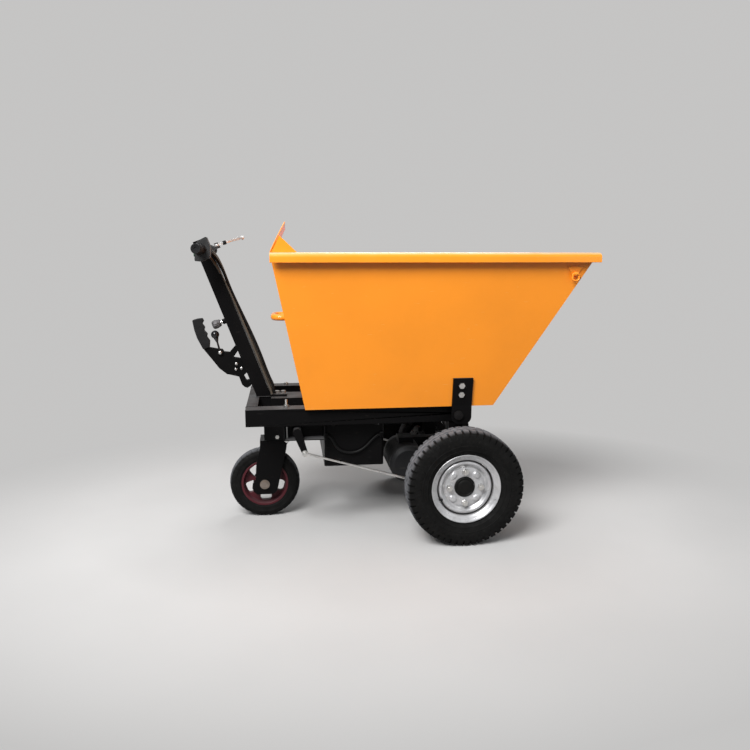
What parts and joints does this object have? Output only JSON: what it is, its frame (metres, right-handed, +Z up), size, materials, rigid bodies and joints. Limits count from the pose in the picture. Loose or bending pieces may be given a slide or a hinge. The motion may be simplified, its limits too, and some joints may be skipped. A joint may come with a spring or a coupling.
{
  "type": "electric dump cart",
  "caption": "Walk-behind electric dump cart with an orange tipping bin on a black tube frame, drive wheels under the dumping end, a castor under the handle end, throttle and brake levers.",
  "frame": {"origin": "on the ground, under the middle of the cart's bounding box", "axes": "+X towards the end that the bin dumps over, +Y to the left of a person walking behind the handlebar, +Z up"},
  "size_m": [1.3767, 0.825, 1.0894],
  "materials": {
    "bin_orange": "glossy orange paint",
    "frame_black": "black enamel with dust",
    "rim_silver": "silver sprayed steel",
    "tyre_black": "dusty black tyre rubber",
    "castor_red": "dull red cast rim",
    "zinc_steel": "zinc plated steel",
    "bare_alloy": "bare aluminium alloy",
    "cast_dark": "dark cast iron",
    "grip_rubber": "matt black rubber",
    "black_plastic": "matt black moulding",
    "knob_plastic": "glossy black knob",
    "grey_plastic": "mottled grey knob",
    "green_plastic": "glossy green button",
    "cable_black": "black cable sheath"
  },
  "bodies": {
    "chassis": {"axle_bearings": "zinc_steel", "axle_housing": "cast_dark", "backing_plates": "frame_black", "battery_box": "frame_black", "battery_pack": "black_plastic", "brake_perch": "black_plastic", "brake_shoes": "cast_dark", "cable_loom": "cable_black", "castor_pedestal": "frame_black", "centre_beam": "frame_black", "column": "frame_black", "cross_members": "frame_black", "drive_motor": "cast_dark", "frame_fasteners": "zinc_steel", "handlebar": "frame_black", "left_grip": "grip_rubber", "left_rail": "frame_black", "motor_controller": "bare_alloy", "ratchet_plate": "frame_black", "right_rail": "frame_black", "switch_housing": "black_plastic"},
    "bin": {"bin_floor": "bin_orange", "bin_right_wall": "bin_orange", "bin_left_wall": "bin_orange", "bin_rear_wall": "bin_orange", "bin_front_wall": "bin_orange", "bin_rim": "bin_orange", "splash_guard": "bin_orange", "grab_handle": "bin_orange", "hinge_plates": "frame_black", "hinge_bolts": "zinc_steel", "lashing_tabs": "bin_orange"},
    "right_wheel": {"right_tyre": "tyre_black", "right_rim": "rim_silver", "right_brake_drum": "cast_dark", "right_hub_cap": "black_plastic", "right_lug_nuts": "zinc_steel"},
    "left_wheel": {"left_tyre": "tyre_black", "left_rim": "rim_silver", "left_brake_drum": "cast_dark", "left_hub_cap": "black_plastic", "left_lug_nuts": "zinc_steel"},
    "castor": {"castor_fork": "frame_black", "castor_axle_bolt": "zinc_steel"},
    "castor_wheel": {"castor_tyre": "tyre_black", "castor_rim": "castor_red"},
    "throttle": {"throttle_grip": "grip_rubber"},
    "hand_brake": {"hand_brake_lever": "bare_alloy"},
    "park_brake": {"park_lever": "frame_black", "park_grip": "grip_rubber"},
    "release": {"release_knob": "knob_plastic"},
    "selector": {"selector_knob": "grey_plastic"},
    "horn": {"horn_button": "green_plastic"},
    "brake_cross_shaft": {"brake_shaft": "frame_black"},
    "right_rod": {"right_brake_rod": "zinc_steel"},
    "left_rod": {"left_brake_rod": "zinc_steel"},
    "right_cam": {"right_cam_lever": "zinc_steel"},
    "left_cam": {"left_cam_lever": "zinc_steel"},
    "right_ring": {"right_lashing_ring": "bin_orange"},
    "left_ring": {"left_lashing_ring": "bin_orange"}
  },
  "joints": [
    {"name": "bin_tip", "type": "hinge", "parent": "chassis", "child": "bin", "pos_m": [0.239, 0, 0.435], "axis": [0, 1, 0], "range_deg": [0, 80]},
    {"name": "right_wheel_spin", "type": "hinge", "parent": "chassis", "child": "right_wheel", "pos_m": [0.245, -0.265, 0.203], "axis": [0, 1, 0], "continuous": true},
    {"name": "left_wheel_spin", "type": "hinge", "parent": "chassis", "child": "left_wheel", "pos_m": [0.245, 0.265, 0.203], "axis": [0, 1, 0], "continuous": true},
    {"name": "castor_swivel", "type": "hinge", "parent": "chassis", "child": "castor", "pos_m": [-0.4, 0, 0.306], "axis": [0, 0, 1], "continuous": true},
    {"name": "castor_wheel_spin", "type": "hinge", "parent": "castor", "child": "castor_wheel", "pos_m": [-0.442, 0, 0.132], "axis": [0, 1, 0], "continuous": true},
    {"name": "throttle_twist", "type": "hinge", "parent": "chassis", "child": "throttle", "pos_m": [-0.632, -0.22, 1.004], "axis": [0, -1, 0], "range_deg": [0, 70], "stiffness_Nm_per_rad": 0.3},
    {"name": "hand_brake_pull", "type": "hinge", "parent": "chassis", "child": "hand_brake", "pos_m": [-0.604, 0.146, 1.018], "axis": [-0.309, 0, 0.9511], "range_deg": [0, 20], "stiffness_Nm_per_rad": 1.5},
    {"name": "park_lever_pull", "type": "hinge", "parent": "chassis", "child": "park_brake", "pos_m": [-0.534, 0, 0.578], "axis": [0, -1, 0], "range_deg": [0, 40]},
    {"name": "release_press", "type": "hinge", "parent": "park_brake", "child": "release", "pos_m": [-0.592, -0.0095, 0.632], "axis": [0, 1, 0], "range_deg": [0, 12], "stiffness_Nm_per_rad": 0.6},
    {"name": "selector_turn", "type": "hinge", "parent": "chassis", "child": "selector", "pos_m": [-0.56787, 0, 0.748], "axis": [-0.9379, 0, -0.347], "range_deg": [-45, 45]},
    {"name": "horn_press", "type": "slide", "parent": "chassis", "child": "horn", "axis": [1, 0, 0], "range_m": [0, 0.0025], "stiffness_N_per_m": 800},
    {"name": "brake_shaft_turn", "type": "hinge", "parent": "chassis", "child": "brake_cross_shaft", "pos_m": [-0.319, 0, 0.382], "axis": [0, 1, 0], "range_deg": [0, 12.1]},
    {"name": "right_rod_turn", "type": "hinge", "parent": "brake_cross_shaft", "child": "right_rod", "pos_m": [-0.294, -0.268, 0.31], "axis": [0, 1, 0], "range_deg": [-13.96, 0.1]},
    {"name": "right_cam_turn", "type": "hinge", "parent": "chassis", "child": "right_cam", "pos_m": [0.2, -0.2875, 0.251], "axis": [0, 1, 0], "range_deg": [0, 10.52]},
    {"name": "right_ring_swing", "type": "hinge", "parent": "bin", "child": "right_ring", "pos_m": [0.611, -0.36309, 0.92223], "axis": [-1, 0, 0], "range_deg": [0, 75]},
    {"name": "left_rod_turn", "type": "hinge", "parent": "brake_cross_shaft", "child": "left_rod", "pos_m": [-0.294, 0.268, 0.31], "axis": [0, 1, 0], "range_deg": [-13.96, 0.1]},
    {"name": "left_cam_turn", "type": "hinge", "parent": "chassis", "child": "left_cam", "pos_m": [0.2, 0.2875, 0.251], "axis": [0, 1, 0], "range_deg": [0, 10.52]},
    {"name": "left_ring_swing", "type": "hinge", "parent": "bin", "child": "left_ring", "pos_m": [0.611, 0.36309, 0.92223], "axis": [1, 0, 0], "range_deg": [0, 75]}
  ],
  "couplings": [
    {"joint": "brake_shaft_turn", "follows": "park_lever_pull", "ratio": 0.3},
    {"joint": "right_rod_turn", "follows": "park_lever_pull", "ratio": -0.34638},
    {"joint": "right_cam_turn", "follows": "park_lever_pull", "ratio": 0.26044},
    {"joint": "left_rod_turn", "follows": "park_lever_pull", "ratio": -0.34638},
    {"joint": "left_cam_turn", "follows": "park_lever_pull", "ratio": 0.26044}
  ]
}
